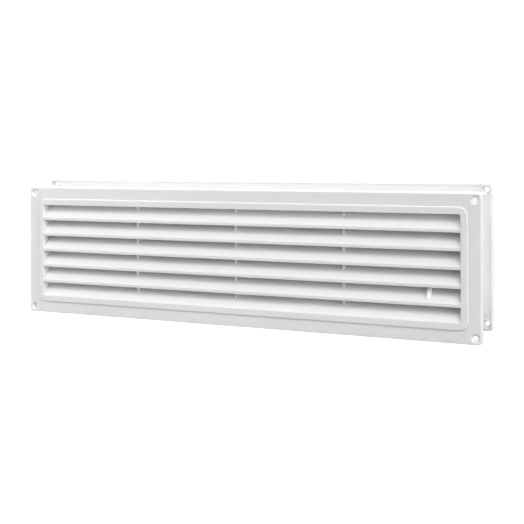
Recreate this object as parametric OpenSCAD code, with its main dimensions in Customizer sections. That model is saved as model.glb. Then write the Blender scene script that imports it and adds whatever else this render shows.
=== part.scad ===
// Two-sided door vent: two louvred halves whose collars telescope through a cut-out
// in the door, with a sliding shutter behind the front louvres.
// X runs along the blades, Y runs through the door (front at -Y), Z is up.
// The origin is the middle of the footprint, on the surface that the two flanges stand on.

/* [Flanges] */
// Width of each flange
flange_w = 462; // [440:1:480]
// Height of each flange
flange_h = 124; // [120:1:130]
// Depth from one flange face to the other with the collars fully home
body_depth = 38; // [38:0.5:44]
// Depth of the rim that stands on the door
rim_depth = 5.7; // [4.5:0.1:6.5]
// Corner radius of the flange outline
flange_r = 2.2; // [1:0.1:3]

/* [Raised panel] */
// Distance from the flange edge to the raised panel
panel_inset = 10.8; // [10:0.1:12]
// Height of the raised panel above the flange
panel_up = 1; // [0.5:0.1:1.2]
// Width of the sloping edge of the raised panel
panel_slope = 0.6; // [0.5:0.1:1.5]
// Corner radius of the raised panel
panel_r = 8; // [5:0.5:10]
// Distance from the flange edge to the louvre opening
border = 17.1; // [16.8:0.1:17.4]

/* [Louvres] */
// Number of loose blades in each half, above the fixed sill
blades = 5; // [5:1:5]
// Height of the front lip of a blade
lip_h = 2.6; // [2:0.1:3]
// Depth of a blade through the vent
blade_d = 14; // [13:0.1:14]
// Rise of a blade for each millimetre of depth
slope = 0.85; // [0.76:0.01:0.86]
// Thickness of a rib
rib_t = 2.6; // [2:0.1:3]
// Depth at which the front edge of a rib sits
rib_y = 7.3; // [7:0.1:9]

/* [Screw holes] */
// Diameter of the screw holes
hole_d = 4.2; // [3.6:0.1:4.6]
// Diameter of the dished seat round a screw hole
sink_d = 7.6; // [7:0.1:8]
// Distance of a hole centre from both flange edges
hole_inset = 5.2; // [5:0.1:6]

/* [Shutter] */
// Number of shutter windows along the vent
windows = 11; // [9:1:13]
// How far the finger tab stands from the right end of the opening
tab_from_end = 28.3; // [27:0.1:29]
// Thickness of the finger tab
tab_t = 2.6; // [2:0.1:2.8]

/* [Hidden] */
$fn = 48;

plate_t = 4.9;                     // flange plate
rim_t = 1.3;                       // rim wall
wall = 1.3;                        // front collar wall
run_gap = 0.4;                     // collar to sleeve, each side
sleeve_t = 1.4;                    // rear sleeve wall
open_w = flange_w - 2 * border;
open_h = flange_h - 2 * border;
half = body_depth / 2 + panel_up;  // origin to the face of either raised panel
face_y = panel_up;                 // flange face, counted from the panel face
back_y = panel_up + plate_t;       // back of the flange plate
door_y = panel_up + rim_depth;     // plane that meets the door
dish_y = face_y + 0.85;            // bottom of the dished seats
relief_y = 4;                      // the screw holes are wider from here to the door
relief_r = 3.4;
stop_y = blade_d + 1;              // end of the rear louvre box
collar_y = 2 * half - stop_y - 0.6;  // end of the front collar
sleeve_y = 2 * half - back_y - 0.3;  // end of the rear sleeve
first_gap = 12.4;                  // opening above the first lip
pitch = (open_h - first_gap) / blades;
slab_v = 1.9;                      // upright thickness of a sloping blade
lip_t = 1.5;
rib_x = open_w / 4;
lap_y = (rib_y + blade_d) / 2;     // middle of the cross-lap
ten_y0 = back_y + 0.4;
ten_y1 = 10.6;
ten_l = 1.15;
fit = 0.06;

seat_y = blade_d + 0.2;
seat_t = 1.6;
shut_y = seat_y + seat_t + 0.2;
shut_t = 1.6;
rail_y = shut_y + shut_t + 0.3;
shut_h = open_h - 9.8;
win_h = shut_h / 2 - 3.5;
win_pitch = (open_w - 36.2) / windows;
win_w = win_pitch / 2 - 0.4;
bar_w = win_pitch / 2 + 0.4;
travel = win_pitch / 2;
win_x0 = -open_w / 2 + 2.8 + bar_w;
shut_x0 = win_x0 - bar_w - 0.3;
shut_x1 = win_x0 + (windows - 1) * win_pitch + win_w + 12.9;
tab_x = open_w / 2 - tab_from_end;
screw_z = open_h / 2 - 2.5;
screw_x = [for (i = [-1.5, -0.5, 0.5, 1.5]) i * open_w / 4 + 6];
snap_x = [for (i = [-1, 0, 1]) i * open_w / 3];

white = [0.93, 0.93, 0.93];
steel = [0.72, 0.73, 0.75];

function lip_z(k) = open_h / 2 - first_gap - k * pitch;   // top of lip k, k = blades is the sill

// A block between two depths, counted from the front panel face
module block(x0, x1, y0, y1, z0, z1)
    translate([x0, y0, z0]) cube([x1 - x0, y1 - y0, z1 - z0]);

// A flat outline in X and Z, given depth
module deep(y0, y1)
    translate([0, y1, 0]) rotate([90, 0, 0]) linear_extrude(y1 - y0) children();

module rounded(w, h, r) {
    square([w - 2 * r, h], center = true);
    square([w, h - 2 * r], center = true);
    for (sx = [-1, 1], sz = [-1, 1])
        translate([sx * (w / 2 - r), sz * (h / 2 - r)]) circle(r);
}

// An outline in Y and Z, drawn out along X
module along(x0, x1)
    translate([x0, 0, 0]) rotate([90, 0, 90]) linear_extrude(x1 - x0) children();

// The sloping slab of one blade between two depths
module slab(zt, y0, y1, grow = 0)
    polygon([[y0, zt + y0 * slope + grow], [y1, zt + y1 * slope + grow],
             [y1, zt + y1 * slope - slab_v - grow], [y0, zt + y0 * slope - slab_v - grow]]);

module at_corners(inset)
    for (sx = [-1, 1], sz = [-1, 1])
        translate([sx * (flange_w / 2 - inset), 0, sz * (flange_h / 2 - inset)]) children();

// Cylinder along +Y from depth y0
module round_y(y0, y1, r0, r1)
    translate([0, y0, 0]) rotate([-90, 0, 0]) cylinder(h = y1 - y0, r1 = r0, r2 = r1);

module sockets(reach) {
    // end tenons of the blades
    for (k = [0 : blades - 1], s = [-1, 1])
        along(s < 0 ? -open_w / 2 - reach : open_w / 2 - 0.1,
              s < 0 ? -open_w / 2 + 0.1 : open_w / 2 + reach)
            slab(lip_z(k), ten_y0 - fit, ten_y1 + fit, fit);
    // end tabs of the ribs
    for (x = [-rib_x, 0, rib_x], s = [-1, 1])
        block(x - rib_t / 2 - fit, x + rib_t / 2 + fit, rib_y + 1.5 - fit, blade_d - 1.5 + fit,
              s > 0 ? open_h / 2 - 0.1 : -open_h / 2 - reach,
              s > 0 ? open_h / 2 + reach : -open_h / 2 + 0.1);
}

// Raised panel with a sloping edge all round and coned corners
module panel() {
    w = flange_w - 2 * panel_inset;
    h = flange_h - 2 * panel_inset;
    c = panel_slope;
    deep(face_y - 0.01, face_y + 0.5) rounded(w, h, panel_r);
    along(-w / 2 + panel_r, w / 2 - panel_r)
        polygon([[0, -h / 2 + c], [face_y, -h / 2], [face_y, h / 2], [0, h / 2 - c]]);
    translate([0, 0, -h / 2 + panel_r]) linear_extrude(h - 2 * panel_r)
        polygon([[-w / 2 + c, 0], [w / 2 - c, 0], [w / 2, face_y], [-w / 2, face_y]]);
    for (sx = [-1, 1], sz = [-1, 1])
        translate([sx * (w / 2 - panel_r), 0, sz * (h / 2 - panel_r)])
            round_y(0, face_y, panel_r - c, panel_r);
}

// Flange, raised panel and sill, shared by both halves; children() add the collar
module flange_with(reach) {
    difference() {
        union() {
            deep(face_y, back_y) rounded(flange_w, flange_h, flange_r);
            deep(back_y - 0.5, door_y) difference() {
                rounded(flange_w, flange_h, flange_r);
                square([flange_w - 2 * rim_t, flange_h - 2 * rim_t], center = true);
            }
            panel();
            at_corners(hole_inset) round_y(back_y - 0.5, door_y, 4.4, 4.4);
            children();
        }
        deep(-1, back_y + 0.2) rounded(open_w, open_h, 1.4);
        block(-open_w / 2, open_w / 2, back_y, 2 * half, -open_h / 2, open_h / 2);
        at_corners(hole_inset) {
            round_y(-1, door_y + 1, hole_d / 2, hole_d / 2);
            round_y(face_y - 0.01, face_y + 0.35, sink_d / 2 + 0.01, sink_d / 2 - 0.35);
            round_y(face_y + 0.35, dish_y, sink_d / 2 - 0.35, hole_d / 2);
            round_y(relief_y, door_y + 1, relief_r, relief_r);
        }
        sockets(reach);
    }
    // sill: the lowest sloping face, notched behind for the ribs
    difference() {
        along(-open_w / 2 - 0.3, open_w / 2 + 0.3)
            polygon([[0.3, lip_z(blades) - 0.9], [0, lip_z(blades) - 0.6], [0, lip_z(blades)],
                     [blade_d, lip_z(blades) + blade_d * slope],
                     [blade_d, lip_z(blades) + blade_d * slope - slab_v],
                     [2.4, lip_z(blades) + 2.4 * slope - slab_v],
                     [2.4, lip_z(blades) - 0.9]]);
        for (x = [-rib_x, 0, rib_x])
            block(x - rib_t / 2 - fit, x + rib_t / 2 + fit, lap_y - fit, blade_d + 1,
                  -open_h / 2, open_h / 2);
    }
}

module front_half() translate([0, -half, flange_h / 2]) children();
module rear_half() mirror([0, 1, 0]) front_half() children();

module front_frame() color(white) front_half() difference() {
    flange_with(3)
        block(-open_w / 2 - wall, open_w / 2 + wall, back_y - 0.5, collar_y,
              -open_h / 2 - wall, open_h / 2 + wall);
    // windows that hold the snaps of the shutter seat
    for (x = snap_x, s = [-1, 1])
        block(x - 5.5, x + 5.5, seat_y - 0.2, seat_y + seat_t + 0.1,
              s > 0 ? open_h / 2 - 0.1 : -open_h / 2 - 3, s > 0 ? open_h / 2 + 3 : -open_h / 2 + 0.1);
}

module rear_frame() color(white) rear_half() {
    out = wall + run_gap + sleeve_t;
    difference() {
        flange_with(1.3)
            block(-open_w / 2 - out, open_w / 2 + out, back_y - 0.5, sleeve_y,
                  -open_h / 2 - out, open_h / 2 + out);
        // the sleeve is bored out past the louvre box, so the front collar slides in
        block(-open_w / 2 - wall - run_gap, open_w / 2 + wall + run_gap, stop_y, 2 * half,
              -open_h / 2 - wall - run_gap, open_h / 2 + wall + run_gap);
    }
}

module blade(k) color(white) {
    zt = lip_z(k);
    difference() {
        union() {
            along(-open_w / 2 + fit, open_w / 2 - fit)
                polygon([[0, zt - lip_h], [0, zt], [blade_d, zt + blade_d * slope],
                         [blade_d, zt + blade_d * slope - slab_v],
                         [lip_t, zt + lip_t * slope - slab_v], [lip_t, zt - lip_h]]);
            along(-open_w / 2 - ten_l, open_w / 2 + ten_l) slab(zt, ten_y0, ten_y1);
        }
        for (x = [-rib_x, 0, rib_x])
            block(x - rib_t / 2 - fit, x + rib_t / 2 + fit, lap_y - fit, blade_d + 1,
                  -open_h, open_h);
    }
}

// A comb pushed in from behind: each slot laps over the notch of one blade
module rib(x) color(white) along(x - rib_t / 2, x + rib_t / 2) difference() {
    union() {
        translate([rib_y, -open_h / 2 + fit]) square([blade_d - rib_y, open_h - 2 * fit]);
        translate([rib_y + 1.5, -open_h / 2 - ten_l])
            square([blade_d - rib_y - 3, open_h + 2 * ten_l]);
    }
    for (k = [0 : blades]) slab(lip_z(k), rib_y - 1, lap_y + fit, fit);
}

module shutter_windows() for (i = [0 : windows - 1], s = [-1, 1])
    block(win_x0 + i * win_pitch, win_x0 + i * win_pitch + win_w, seat_y - 1, rail_y,
          s > 0 ? 1.5 : -1.5 - win_h, s > 0 ? 1.5 + win_h : -1.5);

// Height of the tab stem where it passes the seat, level with the fifth gap
stem_z0 = lip_z(4) + blade_d * slope + 1.3;
stem_z1 = stem_z0 + 9;

module shutter_seat() color(white) front_half() difference() {
    union() {
        block(-open_w / 2 + 0.3, open_w / 2 - 0.3, seat_y, seat_y + seat_t,
              -open_h / 2 + 0.3, open_h / 2 - 0.3);
        for (x = snap_x, s = [-1, 1]) along(x - 5, x + 5)
            polygon([[seat_y + 0.2, s * (open_h / 2 - 0.6)], [seat_y + 0.2, s * (open_h / 2 - 0.2)],
                     [seat_y + seat_t - 0.5, s * (open_h / 2 + 0.9)],
                     [seat_y + seat_t, s * (open_h / 2 + 0.9)],
                     [seat_y + seat_t, s * (open_h / 2 - 0.6)]]);
    }
    shutter_windows();
    block(tab_x - tab_t / 2 - 1, tab_x + travel + tab_t / 2 + 1, seat_y - 1, seat_y + seat_t + 1,
          stem_z0 - 0.8, stem_z1 + 0.8);
    for (x = screw_x, s = [-1, 1]) translate([x, 0, s * screw_z])
        round_y(seat_y - 1, seat_y + seat_t + 1, 1.05, 1.05);
}

module shutter_plate() color(white) front_half() difference() {
    block(shut_x0, shut_x1, shut_y, shut_y + shut_t, -shut_h / 2, shut_h / 2);
    shutter_windows();
    block(tab_x - tab_t / 2 - fit, tab_x + tab_t / 2 + fit, shut_y - 1, shut_y + shut_t + 1,
          stem_z0 + 1.5 - fit, stem_z1 - 1.5 + fit);
}

module shutter_tab() color(white) front_half() {
    z4 = lip_z(4);
    tip = [1.8, z4 + 1.8 * slope + 0.6];
    top = [8.4, z4 + 8.4 * slope + 8.4];
    along(tab_x - tab_t / 2, tab_x + tab_t / 2) difference() {
        union() {
            polygon([tip, [tip.x, tip.y + 1.2], top, [blade_d, stem_z1], [shut_y, stem_z1],
                     [shut_y, stem_z0], [blade_d, stem_z0]]);
            translate([shut_y - 0.5, stem_z0 + 1.5])
                square([shut_t + 1.8, stem_z1 - stem_z0 - 3]);
            // barbs behind the shutter plate
            polygon([[shut_y + shut_t + 0.1, stem_z1 - 1.6], [shut_y + shut_t + 0.1, stem_z1 - 1],
                     [shut_y + shut_t + 1.3, stem_z1 - 1.6]]);
            polygon([[shut_y + shut_t + 0.1, stem_z0 + 1.6], [shut_y + shut_t + 1.3, stem_z0 + 1.6],
                     [shut_y + shut_t + 0.1, stem_z0 + 1]]);
        }
        translate([shut_y + 0.2, (stem_z0 + stem_z1) / 2 - 0.8]) square([4, 1.6]);
    }
    // thicker finger edge
    along(tab_x - tab_t / 2 - 0.55, tab_x + tab_t / 2 + 0.55)
        polygon([tip, [tip.x, tip.y + 1.2], top, [top.x + 1.5, top.y - 1],
                 [tip.x + 2.2, tip.y + 2.2 * slope]]);
}

module shutter_rail(s) color(white) front_half() difference() {
    z1 = s * (open_h / 2 - 0.5);
    zc = s * (shut_h / 2 + 0.3);
    zh = s * (shut_h / 2 - 1);
    along(-open_w / 2 + 1, open_w / 2 - 1)
        polygon([[seat_y + seat_t, z1], [seat_y + seat_t, zc], [rail_y, zc], [rail_y, zh],
                 [rail_y + 1.2, zh], [rail_y + 1.2, z1]]);
    for (x = screw_x) translate([x, 0, s * screw_z])
        round_y(seat_y, rail_y + 2, 1.15, 1.15);
}

// Pan-head self-tapping screws, 2 mm
module rail_screw() {
    head = rail_y + 1.2;
    difference() {
        union() {
            round_y(seat_y + 0.7, head + 0.3, 1, 1);
            round_y(seat_y + 0.1, seat_y + 0.7, 0.5, 1);
            round_y(head, head + 0.8, 1.75, 1.75);
            round_y(head + 0.8, head + 1.3, 1.75, 1.1);
        }
        for (a = [0, 90]) rotate([0, a, 0])
            block(-1.1, 1.1, head + 0.6, head + 2, -0.2, 0.2);
    }
}

module rail_screws() color(steel) front_half()
    for (x = screw_x, s = [-1, 1]) translate([x, 0, s * screw_z]) rail_screw();

front_frame();
front_half() blade(0);  // front_blade_1
front_half() blade(1);  // front_blade_2
front_half() blade(2);  // front_blade_3
front_half() blade(3);  // front_blade_4
front_half() blade(4);  // front_blade_5
front_half() rib(-rib_x);  // front_rib_left
front_half() rib(0);  // front_rib_centre
front_half() rib(rib_x);  // front_rib_right
rear_frame();
rear_half() blade(0);  // rear_blade_1
rear_half() blade(1);  // rear_blade_2
rear_half() blade(2);  // rear_blade_3
rear_half() blade(3);  // rear_blade_4
rear_half() blade(4);  // rear_blade_5
rear_half() rib(-rib_x);  // rear_rib_left
rear_half() rib(0);  // rear_rib_centre
rear_half() rib(rib_x);  // rear_rib_right
shutter_seat();
shutter_plate();
shutter_tab();
shutter_rail(1);  // shutter_rail_top
shutter_rail(-1);  // shutter_rail_bottom
rail_screws();
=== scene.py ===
import math

import bmesh
import bpy
from mathutils import Matrix, Vector

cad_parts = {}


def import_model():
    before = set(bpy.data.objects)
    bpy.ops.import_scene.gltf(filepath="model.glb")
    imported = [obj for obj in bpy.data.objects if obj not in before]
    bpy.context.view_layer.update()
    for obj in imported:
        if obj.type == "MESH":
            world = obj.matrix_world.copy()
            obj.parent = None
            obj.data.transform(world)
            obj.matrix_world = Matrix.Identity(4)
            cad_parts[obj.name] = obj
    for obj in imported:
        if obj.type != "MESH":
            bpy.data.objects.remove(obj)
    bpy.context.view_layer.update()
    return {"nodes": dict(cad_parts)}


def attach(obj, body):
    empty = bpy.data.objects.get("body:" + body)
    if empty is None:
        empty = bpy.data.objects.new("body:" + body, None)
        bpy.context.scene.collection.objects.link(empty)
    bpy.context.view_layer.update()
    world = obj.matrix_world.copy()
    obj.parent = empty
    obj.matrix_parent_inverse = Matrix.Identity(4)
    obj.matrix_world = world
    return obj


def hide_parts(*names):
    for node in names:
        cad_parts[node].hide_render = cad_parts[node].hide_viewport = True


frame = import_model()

MM = 0.001

# ---------------------------------------------------------------- sizes, mm
FLANGE_W, FLANGE_H = 462.0, 124.0
HALF = 20.0                      # middle of the vent to the face of a raised panel
FACE_Y, BACK_Y, DOOR_Y = 1.0, 5.9, 6.7
RIM_T = 1.3
FLANGE_R = 2.2
BORDER = 17.1
PANEL_IN = 10.8
OPEN_W, OPEN_H = FLANGE_W - 2 * BORDER, FLANGE_H - 2 * BORDER
WALL, GAP, SLEEVE_T = 1.3, 0.4, 1.4
BLADE_D, SLOPE, SLAB_V = 14.0, 0.85, 1.9
STOP_Y = BLADE_D + 1
COLLAR_Y = 2 * HALF - STOP_Y - 0.6
SLEEVE_Y = 2 * HALF - BACK_Y - 0.3
HOLE_R, SINK_R, HOLE_IN = 2.1, 3.8, 5.2
RELIEF_R, RELIEF_Y = 3.4, 4.0     # the screw holes are wider behind this depth
SEAT_Y = BLADE_D + 0.2
N_CORNER = 10

# ---------------------------------------------------------------- camera
def make_camera():
    """The photograph's place and lens, from the corners of both flanges.

    Its upright edges stay upright although it looks down on the vent, and its level lines tilt,
    as after a skew in a picture editor. So the camera hangs from a skewed empty. There is no shift.
    """
    data = bpy.data.cameras.new("camera")
    cam = bpy.data.objects.new("camera", data)
    hold = bpy.data.objects.new("camera_hold", None)
    for o in (cam, hold):
        bpy.context.scene.collection.objects.link(o)
    # columns: the picture's right, the picture's up, away from the view
    m = Matrix(((0.8832, 0.0058, 0.4415), (0.4572, -0.0019, -0.8517), (-0.1046, 1.0, 0.2825))).to_4x4()
    m.translation = Vector((488.1, -902.0, 352.7)) * MM
    cam.parent = hold
    cam.matrix_parent_inverse = m
    data.sensor_width = 36.0
    data.lens = 1151.8 / 524.0 * 36.0
    data.clip_start, data.clip_end = 0.05, 60.0
    bpy.context.scene.camera = cam


make_camera()

# ---------------------------------------------------------------- node helpers
def tree_of(mat):
    mat.use_nodes = True
    nt = mat.node_tree
    bsdf = next(n for n in nt.nodes if n.type == "BSDF_PRINCIPLED")
    return nt, nt.nodes, nt.links, bsdf


def noise(nodes, links, coord, scale, detail, rough=0.5):
    n = nodes.new("ShaderNodeTexNoise")
    n.inputs["Scale"].default_value = scale
    n.inputs["Detail"].default_value = detail
    n.inputs["Roughness"].default_value = rough
    links.new(coord, n.inputs["Vector"])
    return n.outputs["Fac"]


def ramp(nodes, links, fac, stops):
    r = nodes.new("ShaderNodeValToRGB")
    e = r.color_ramp.elements
    e[0].position, e[0].color = stops[0][0], (*stops[0][1], 1)
    e[1].position, e[1].color = stops[-1][0], (*stops[-1][1], 1)
    for p, c in stops[1:-1]:
        x = e.new(p)
        x.color = (*c, 1)
    links.new(fac, r.inputs["Fac"])
    return r.outputs["Color"]


def remap(nodes, links, fac, lo, hi, a=0.3, b=0.7):
    m = nodes.new("ShaderNodeMapRange")
    m.inputs["From Min"].default_value, m.inputs["From Max"].default_value = a, b
    m.inputs["To Min"].default_value, m.inputs["To Max"].default_value = lo, hi
    links.new(fac, m.inputs["Value"])
    return m.outputs["Result"]


def plastic(name, light, dark, rough=(0.30, 0.42), grain=0.10, flow=0.10, along_x=1.0, glow=0.0):
    """Moulded white plastic: faint flow marks drawn out along the piece, spark-eroded grain, soft sink waves."""
    mat = bpy.data.materials.new(name)
    nt, nodes, links, bsdf = tree_of(mat)
    tc = nodes.new("ShaderNodeTexCoord").outputs["Object"]
    stretch = nodes.new("ShaderNodeMapping")
    stretch.inputs["Scale"].default_value = (along_x, 1.0, 1.0)
    links.new(tc, stretch.inputs["Vector"])
    low = noise(nodes, links, stretch.outputs["Vector"], 26.0, 3.0)
    colour = ramp(nodes, links, low, [(0.32, dark), (0.52, light), (0.72, tuple(min(1, c * 1.006) for c in light))])
    links.new(colour, bsdf.inputs["Base Color"])
    mid = noise(nodes, links, tc, 420.0, 4.0, 0.6)
    links.new(remap(nodes, links, mid, rough[0], rough[1]), bsdf.inputs["Roughness"])
    fine = noise(nodes, links, tc, 2600.0, 2.0, 0.55)
    b1 = nodes.new("ShaderNodeBump")
    b1.inputs["Strength"].default_value = grain
    b1.inputs["Distance"].default_value = 0.00012
    links.new(fine, b1.inputs["Height"])
    wave = noise(nodes, links, stretch.outputs["Vector"], 14.0, 1.0)
    b2 = nodes.new("ShaderNodeBump")
    b2.inputs["Strength"].default_value = flow
    b2.inputs["Distance"].default_value = 0.0006
    links.new(wave, b2.inputs["Height"])
    links.new(b1.outputs["Normal"], b2.inputs["Normal"])
    links.new(b2.outputs["Normal"], bsdf.inputs["Normal"])
    bsdf.inputs["IOR"].default_value = 1.49
    if glow:                     # thin white plastic lets a little light through
        bsdf.inputs["Subsurface Weight"].default_value = 1.0
        bsdf.inputs["Subsurface Radius"].default_value = (1.0, 0.98, 0.95)
        bsdf.inputs["Subsurface Scale"].default_value = glow * MM
    return mat


def steel(name):
    mat = bpy.data.materials.new(name)
    nt, nodes, links, bsdf = tree_of(mat)
    tc = nodes.new("ShaderNodeTexCoord").outputs["Object"]
    low = noise(nodes, links, tc, 900.0, 3.0)
    colour = ramp(nodes, links, low, [(0.3, (0.50, 0.51, 0.53)), (0.7, (0.66, 0.67, 0.69))])
    links.new(colour, bsdf.inputs["Base Color"])
    links.new(remap(nodes, links, low, 0.25, 0.45), bsdf.inputs["Roughness"])
    bsdf.inputs["Metallic"].default_value = 1.0
    b = nodes.new("ShaderNodeBump")
    b.inputs["Strength"].default_value = 0.15
    b.inputs["Distance"].default_value = 0.00005
    links.new(noise(nodes, links, tc, 3000.0, 2.0), b.inputs["Height"])
    links.new(b.outputs["Normal"], bsdf.inputs["Normal"])
    return mat


LIGHT = (0.775, 0.775, 0.775)
DARK = (0.76, 0.76, 0.76)
M_FRAME = plastic("frame_plastic", LIGHT, DARK, along_x=0.35, glow=1.8)
# painted light: the rear frame is the same white plastic as the front, set brighter so its strip above the front
# frame looks lit
M_REAR_PAINTED_LIGHT = plastic("rear_frame_plastic_painted_light", (0.80, 0.80, 0.80), (0.785, 0.785, 0.785), along_x=0.35, glow=4.0)
# painted shade: the louvre blades are the frame's white plastic, set a little darker so the slots look deeper in
# shade
M_BLADE_PAINTED_SHADE = plastic("louvre_plastic", (0.735, 0.735, 0.735), (0.72, 0.72, 0.72), rough=(0.34, 0.46), grain=0.08, along_x=0.2)
# painted highlight: the ribs are the same white plastic, set brighter so they look lit from the front right
M_RIB_PAINTED_HIGHLIGHT = plastic("rib_plastic", (0.86, 0.86, 0.86), (0.845, 0.845, 0.845), rough=(0.38, 0.5), grain=0.08)
# painted shade: the shutter and the other inner pieces behind the blades are set darker than the white plastic to
# deepen the slots
M_SHUT_PAINTED_SHADE = plastic("shutter_plastic", (0.69, 0.69, 0.69), (0.67, 0.67, 0.67), rough=(0.4, 0.55), grain=0.15)
# painted highlight: the finger tab is the same white plastic, set brighter so it looks lit from the right
M_TAB_PAINTED_HIGHLIGHT = plastic("tab_plastic", (0.89, 0.89, 0.89), (0.875, 0.875, 0.875), rough=(0.26, 0.36), grain=0.06)
M_STEEL = steel("screw_steel")


def paint(obj, mat):
    if obj.data.materials:
        for i in range(len(obj.data.materials)):
            obj.material_slots[i].link = "OBJECT"
            obj.material_slots[i].material = mat
    else:
        obj.data.materials.append(mat)


# ---------------------------------------------------------------- mesh helpers
def ring(e, y, r):
    """Rounded rectangle e inside the flange outline, at depth y; counter-clockwise seen from the front."""
    hw, hh = FLANGE_W / 2 - e, FLANGE_H / 2 - e
    pts = []
    for cx, cz, a0 in ((hw - r, hh - r, 0), (-hw + r, hh - r, 90), (-hw + r, -hh + r, 180), (hw - r, -hh + r, 270)):
        for i in range(N_CORNER + 1):
            a = math.radians(a0 + 90.0 * i / N_CORNER)
            pts.append((cx + r * math.cos(a), y, cz + r * math.sin(a)))
    return pts


def arc(ce, cy, r, t0, t1, n):
    """Points (e, y) on a quarter round in the section plane."""
    return [(ce + r * math.cos(math.radians(t0 + (t1 - t0) * i / n)), cy + r * math.sin(math.radians(t0 + (t1 - t0) * i / n)))
            for i in range(n + 1)]


def obj_from(bm, name):
    me = bpy.data.meshes.new(name)
    bmesh.ops.remove_doubles(bm, verts=bm.verts, dist=1e-5)
    bmesh.ops.recalc_face_normals(bm, faces=bm.faces)
    bm.to_mesh(me)
    bm.free()
    o = bpy.data.objects.new(name, me)
    bpy.context.scene.collection.objects.link(o)
    return o


def loft(rings):
    bm = bmesh.new()
    loops = [[bm.verts.new(p) for p in r] for r in rings]
    n = len(loops[0])
    for a, b in zip(loops, loops[1:] + loops[:1]):
        for i in range(n):
            bm.faces.new((a[i], a[(i + 1) % n], b[(i + 1) % n], b[i]))
    return bm


def lathe(profile, x, z, steps=64):
    """Solid of revolution about the Y line through x, z. profile is (radius, y), first and last on the axis."""
    bm = bmesh.new()
    rows = []
    for r, y in profile:
        if r < 1e-9:
            rows.append([bm.verts.new((x, y, z))])
        else:
            rows.append([bm.verts.new((x + r * math.cos(2 * math.pi * i / steps), y, z + r * math.sin(2 * math.pi * i / steps)))
                         for i in range(steps)])
    for a, b in zip(rows, rows[1:]):
        for i in range(steps):
            j = (i + 1) % steps
            if len(a) == 1:
                bm.faces.new((a[0], b[i], b[j]))
            elif len(b) == 1:
                bm.faces.new((a[j], a[i], b[0]))
            else:
                bm.faces.new((a[i], a[j], b[j], b[i]))
    return bm


def prism(points, x0, x1):
    """Outline of (y, z) points drawn out from x0 to x1."""
    bm = bmesh.new()
    a = [bm.verts.new((x0, y, z)) for y, z in points]
    b = [bm.verts.new((x1, y, z)) for y, z in points]
    bm.faces.new(a)
    bm.faces.new(list(reversed(b)))
    n = len(a)
    for i in range(n):
        bm.faces.new((a[i], b[i], b[(i + 1) % n], a[(i + 1) % n]))
    return bm


def boolean(obj, cutters, mode):
    for c in cutters:
        m = obj.modifiers.new("b", "BOOLEAN")
        m.operation, m.solver, m.object = mode, "EXACT", c
    bpy.context.view_layer.update()
    dg = bpy.context.evaluated_depsgraph_get()
    me = bpy.data.meshes.new_from_object(obj.evaluated_get(dg))
    old = obj.data
    obj.modifiers.clear()
    obj.data = me
    bpy.data.meshes.remove(old)
    for c in cutters:
        bpy.data.objects.remove(c)


def soften(obj, width=None, segments=2, weld=False, angle=30.0):
    """Small rounded edges and even normals; the mesh itself isn't changed."""
    if weld:
        w = obj.modifiers.new("weld", "WELD")
        w.merge_threshold = 1e-6
        d = obj.modifiers.new("flats", "DECIMATE")
        d.decimate_type = "DISSOLVE"
        d.angle_limit = math.radians(0.4)
    if width:
        b = obj.modifiers.new("edges", "BEVEL")
        b.width, b.segments = width * MM, segments
        b.limit_method, b.angle_limit = "ANGLE", math.radians(angle)
        b.miter_outer = "MITER_ARC"
        b.harden_normals = False
    n = obj.modifiers.new("normals", "WEIGHTED_NORMAL")
    n.keep_sharp = False
    n.weight = 60


# ---------------------------------------------------------------- the two frames
def lip_z(k):
    return OPEN_H / 2 - 12.4 - k * (OPEN_H - 12.4) / 5


def half_section(rear):
    """The section of flange, panel and collar as (inset, depth, corner radius), all the way round."""
    s = [(0.2, DOOR_Y, FLANGE_R - 0.2), (0.05, DOOR_Y - 0.06, FLANGE_R), (0.0, DOOR_Y - 0.25, FLANGE_R),
         (0.0, FACE_Y + 2.2, FLANGE_R)]
    R = 0.3
    s += [(e, y, max(FLANGE_R - e, 0.2)) for e, y in arc(R, FACE_Y + R, R, 180, 270, 5)]
    s += [(e, y, 8.0 + PANEL_IN - e) for e, y in
          [(10.72, FACE_Y), (10.84, 0.96), (10.9, 0.86), (10.96, 0.73), (11.16, 0.27), (11.22, 0.14), (11.3, 0.04), (11.42, 0.0)]]
    r = 0.25
    s += [(e, y, 1.4 + BORDER - e) for e, y in arc(BORDER - r, r, r, 270, 360, 5)]
    s += [(BORDER, BACK_Y + 0.2, 1.4), (BORDER, BACK_Y + 0.21, 0.4)]
    if rear:
        inner, outer = BORDER - WALL - GAP, BORDER - WALL - GAP - SLEEVE_T
        s += [(BORDER, STOP_Y - 0.2, 0.4), (BORDER - 0.2, STOP_Y, 0.4), (inner + 0.0, STOP_Y, 0.4)]
        end = SLEEVE_Y
    else:
        inner, outer = BORDER, BORDER - WALL
        end = COLLAR_Y
    s += [(inner, end - 0.3, 0.4), (inner - 0.12, end - 0.08, 0.45), (inner - 0.35, end, 0.5)]
    s += [(outer + 0.35, end, 0.55), (outer + 0.12, end - 0.08, 0.6), (outer, end - 0.3, 0.7)]
    s += [(outer, BACK_Y + 0.5, 0.7), (outer - 0.15, BACK_Y + 0.15, 0.8), (outer - 0.5, BACK_Y, 0.9)]
    s += [(RIM_T + 0.75, BACK_Y, 0.5), (RIM_T + 0.38, BACK_Y + 0.08, 0.6), (RIM_T + 0.12, BACK_Y + 0.28, 0.7), (RIM_T, BACK_Y + 0.52, 0.85),
          (RIM_T - 0.1, DOOR_Y - 0.08, 0.95), (RIM_T - 0.28, DOOR_Y, 1.05)]
    return s


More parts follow.
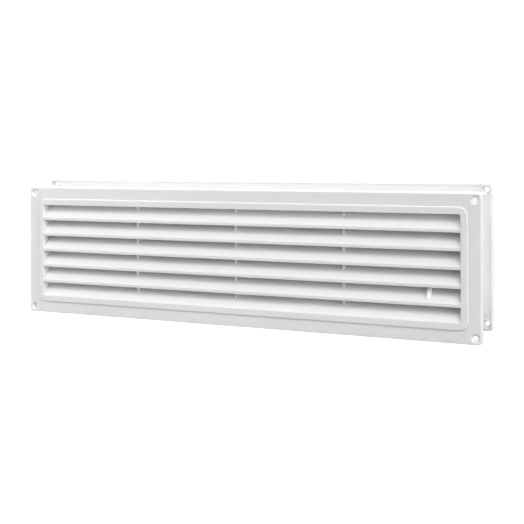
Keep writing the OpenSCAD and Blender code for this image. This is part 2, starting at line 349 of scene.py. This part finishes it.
def make_frame(name, body, node, rear):
    o = obj_from(loft([ring(e, y, r) for e, y, r in half_section(rear)]), name)
    corners = [(sx * (FLANGE_W / 2 - HOLE_IN), sz * (FLANGE_H / 2 - HOLE_IN)) for sx in (-1, 1) for sz in (-1, 1)]
    # bosses behind the screw holes, and the sill
    add = [obj_from(lathe([(0, BACK_Y - 0.5), (4.4, BACK_Y - 0.5), (4.4, DOOR_Y - 0.22), (4.33, DOOR_Y - 0.07), (4.18, DOOR_Y), (0, DOOR_Y)], x, z),
                    "boss") for x, z in corners]
    z5 = lip_z(5)
    sill = [(0.5, z5 - 0.9), (0.3, z5 - 0.25), (0.42, z5 + 0.2), (0.75, z5 + 0.75 * SLOPE), (BLADE_D - 0.25, z5 + (BLADE_D - 0.25) * SLOPE),
            (BLADE_D, z5 + BLADE_D * SLOPE - 0.25), (BLADE_D, z5 + BLADE_D * SLOPE - SLAB_V), (2.4, z5 + 2.4 * SLOPE - SLAB_V), (2.4, z5 - 0.9)]
    add.append(obj_from(prism(sill, -OPEN_W / 2 - 0.3, OPEN_W / 2 + 0.3), "sill"))
    boolean(o, add, "UNION")
    cut = []
    for x, z in corners:
        prof = [(0, FACE_Y - 1), (SINK_R + 0.2, FACE_Y - 1), (SINK_R + 0.2, FACE_Y - 0.001), (SINK_R + 0.05, FACE_Y + 0.03),
                (SINK_R - 0.1, FACE_Y + 0.12), (SINK_R - 0.28, FACE_Y + 0.3), (SINK_R - 0.45, FACE_Y + 0.4),
                (HOLE_R + 0.25, FACE_Y + 0.76), (HOLE_R + 0.07, FACE_Y + 0.86), (HOLE_R, FACE_Y + 1.05),
                (HOLE_R, RELIEF_Y), (RELIEF_R, RELIEF_Y), (RELIEF_R, DOOR_Y + 1), (0, DOOR_Y + 1)]
        cut.append(obj_from(lathe(prof, x, z), "hole"))
    if not rear:
        for x in (-OPEN_W / 3, 0, OPEN_W / 3):
            for s in (-1, 1):
                za, zb = sorted((s * (OPEN_H / 2 - 0.1), s * (OPEN_H / 2 + 3)))
                cut.append(obj_from(prism([(SEAT_Y - 0.2, za), (SEAT_Y + 1.7, za), (SEAT_Y + 1.7, zb), (SEAT_Y - 0.2, zb)], x - 5.5, x + 5.5), "snap"))
    boolean(o, cut, "DIFFERENCE")
    me = o.data
    bm = bmesh.new()                 # join the points that the cuts left within 2 microns of each other
    bm.from_mesh(me)
    bmesh.ops.remove_doubles(bm, verts=bm.verts, dist=0.002)
    bm.to_mesh(me)
    bm.free()
    flip = -1.0 if rear else 1.0
    for v in me.vertices:
        x, y, z = v.co
        v.co = (x * MM, flip * (y - HALF) * MM, (z + FLANGE_H / 2) * MM)
    if rear:
        me.flip_normals()
    me.validate()
    for p in me.polygons:
        p.use_smooth = True
    me.set_sharp_from_angle(angle=math.radians(38))
    me.materials.clear()
    me.materials.append(M_REAR_PAINTED_LIGHT if rear else M_FRAME)
    n = o.modifiers.new("normals", "WEIGHTED_NORMAL")
    n.keep_sharp = True
    n.weight = 80
    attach(o, body)
    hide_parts(node)
    return o


make_frame("front_frame_shell", "front", "front_frame", False)
make_frame("rear_frame_shell", "rear", "rear_frame", True)

# ---------------------------------------------------------------- finish of the other pieces
for n, o in frame["nodes"].items():
    if n.endswith("_frame"):
        paint(o, M_FRAME)
    elif "_blade_" in n:
        paint(o, M_BLADE_PAINTED_SHADE)
        soften(o, 0.14, 3, weld=True)
    elif "_rib_" in n:
        paint(o, M_RIB_PAINTED_HIGHLIGHT)
        soften(o, 0.22, 2, weld=True)
    elif n == "rail_screws":
        paint(o, M_STEEL)
        soften(o, None, weld=True)
    elif n == "shutter_tab":
        paint(o, M_TAB_PAINTED_HIGHLIGHT)
        soften(o, 0.2, 3, weld=True)
    else:
        paint(o, M_SHUT_PAINTED_SHADE)
        soften(o, 0.15, 2, weld=True)

# ---------------------------------------------------------------- stage and light
def floor():
    bm = bmesh.new()
    bmesh.ops.create_grid(bm, x_segments=2, y_segments=2, size=14.0)
    me = bpy.data.meshes.new("floor")
    bm.to_mesh(me)
    bm.free()
    o = bpy.data.objects.new("floor", me)
    bpy.context.scene.collection.objects.link(o)
    mat = bpy.data.materials.new("floor")
    nt, nodes, links, bsdf = tree_of(mat)
    tc = nodes.new("ShaderNodeTexCoord").outputs["Object"]
    tone = [(0.3, (FLOOR_BOUNCE - 0.01,) * 3), (0.7, (FLOOR_BOUNCE + 0.01,) * 3)]
    links.new(ramp(nodes, links, noise(nodes, links, tc, 3.0, 2.0), tone), bsdf.inputs["Base Color"])
    bsdf.inputs["Roughness"].default_value = 0.9
    bsdf.inputs["Specular IOR Level"].default_value = 0.0
    # the floor looks as white as the backdrop, and throws less light up than that
    bsdf.inputs["Emission Color"].default_value = (1, 1, 1, 1)
    lift = nodes.new("ShaderNodeMath")
    lift.operation = "MULTIPLY"
    lift.inputs[1].default_value = FLOOR_LIFT
    links.new(nodes.new("ShaderNodeLightPath").outputs["Is Camera Ray"], lift.inputs[0])
    links.new(lift.outputs[0], bsdf.inputs["Emission Strength"])
    me.materials.append(mat)


# soft studio light: brightness by direction, at five heights (sine of the elevation 0, 1/4, 1/2, 3/4, 1)
STUDIO = {
    "front": (0.05, 0.05, 0.8, 1.5, 0.3),
    "right": (0.9, 1.05, 0.9, 0.5, 0.3),
    "back": (4.9, 3.7, 0.7, 0.2, 0.3),
    "left": (1.3, 1.15, 0.4, 0.18, 0.3),
}
# the softboxes: brightness, degrees right of the front, elevation, narrowness
KEY = (15.8, 46.0, 46.0, 60.0)
SIDE = (8.4, 66.0, 9.0, 40.0)
FLOOR_BOUNCE, FLOOR_LIFT = 0.25, 0.86
NEAR_W = 2.6                      # watts


def world():
    w = bpy.data.worlds.new("studio")
    bpy.context.scene.world = w
    w.use_nodes = True
    nodes, links = w.node_tree.nodes, w.node_tree.links
    bg = next(n for n in nodes if n.type == "BACKGROUND")
    out = next(n for n in nodes if n.type == "OUTPUT_WORLD")

    def math_node(op, *args):
        n = nodes.new("ShaderNodeMath")
        n.operation = op
        for i, v in enumerate(args):
            if isinstance(v, (int, float)):
                n.inputs[i].default_value = v
            else:
                links.new(v, n.inputs[i])
        return n.outputs[0]

    sep = nodes.new("ShaderNodeSeparateXYZ")
    links.new(nodes.new("ShaderNodeTexCoord").outputs["Generated"], sep.inputs["Vector"])
    x, y, z = sep.outputs
    flat = math_node("MAXIMUM", math_node("ADD", math_node("MULTIPLY", x, x), math_node("MULTIPLY", y, y)), 1e-5)
    total = None
    for side, along, sign in (("front", y, -1.0), ("right", x, 1.0), ("back", y, 1.0), ("left", x, -1.0)):
        part = math_node("MAXIMUM", math_node("MULTIPLY", along, sign), 0.0)
        part = math_node("DIVIDE", math_node("MULTIPLY", part, part), flat)
        heights = nodes.new("ShaderNodeValToRGB")
        e = heights.color_ramp.elements
        values = [v / 4.0 for v in STUDIO[side]]
        e[0].position, e[0].color = 0.0, (values[0],) * 3 + (1,)
        e[1].position, e[1].color = 1.0, (values[4],) * 3 + (1,)
        for pos, v in zip((0.25, 0.5, 0.75), values[1:4]):
            e.new(pos).color = (v, v, v, 1)
        links.new(z, heights.inputs["Fac"])
        part = math_node("MULTIPLY", part, math_node("MULTIPLY", heights.outputs["Color"], 4.0))
        total = part if total is None else math_node("ADD", total, part)
    for bright, az, el, narrow in (KEY, SIDE):
        az, el = math.radians(az), math.radians(el)
        toward = (math.sin(az) * math.cos(el), -math.cos(az) * math.cos(el), math.sin(el))
        near = None
        for axis, c in zip((x, y, z), toward):
            t = math_node("MULTIPLY", axis, c)
            near = t if near is None else math_node("ADD", near, t)
        total = math_node("ADD", total, math_node("MULTIPLY", math_node("POWER", math_node("MAXIMUM", near, 0.0), narrow), bright))
    bg.inputs["Color"].default_value = (1, 1, 1, 1)
    links.new(total, bg.inputs["Strength"])
    # the backdrop behind the object is plain white
    white = nodes.new("ShaderNodeBackground")
    white.inputs["Color"].default_value = (1, 1, 1, 1)
    white.inputs["Strength"].default_value = 1.05
    seen = nodes.new("ShaderNodeLightPath").outputs["Is Camera Ray"]
    mix = nodes.new("ShaderNodeMixShader")
    links.new(seen, mix.inputs[0])
    links.new(bg.outputs[0], mix.inputs[1])
    links.new(white.outputs[0], mix.inputs[2])
    links.new(mix.outputs[0], out.inputs["Surface"])


def near_softbox():
    """A small soft light close to the left end, which the flange's left side catches more of."""
    data = bpy.data.lights.new("near_softbox", "AREA")
    data.shape, data.size, data.size_y, data.energy = "RECTANGLE", 0.5, 0.7, NEAR_W
    o = bpy.data.objects.new("near_softbox", data)
    o.location = (-0.70, -0.74, 0.56)
    o.rotation_euler = (Vector((-0.1, 0.0, 0.06)) - Vector(o.location)).to_track_quat("-Z", "Y").to_euler()
    o.visible_camera = False
    bpy.context.scene.collection.objects.link(o)


floor()
world()
near_softbox()

vs = bpy.context.scene.view_settings
vs.view_transform = "Standard"
vs.look = "None"
vs.exposure = 0.0
vs.gamma = 1.0
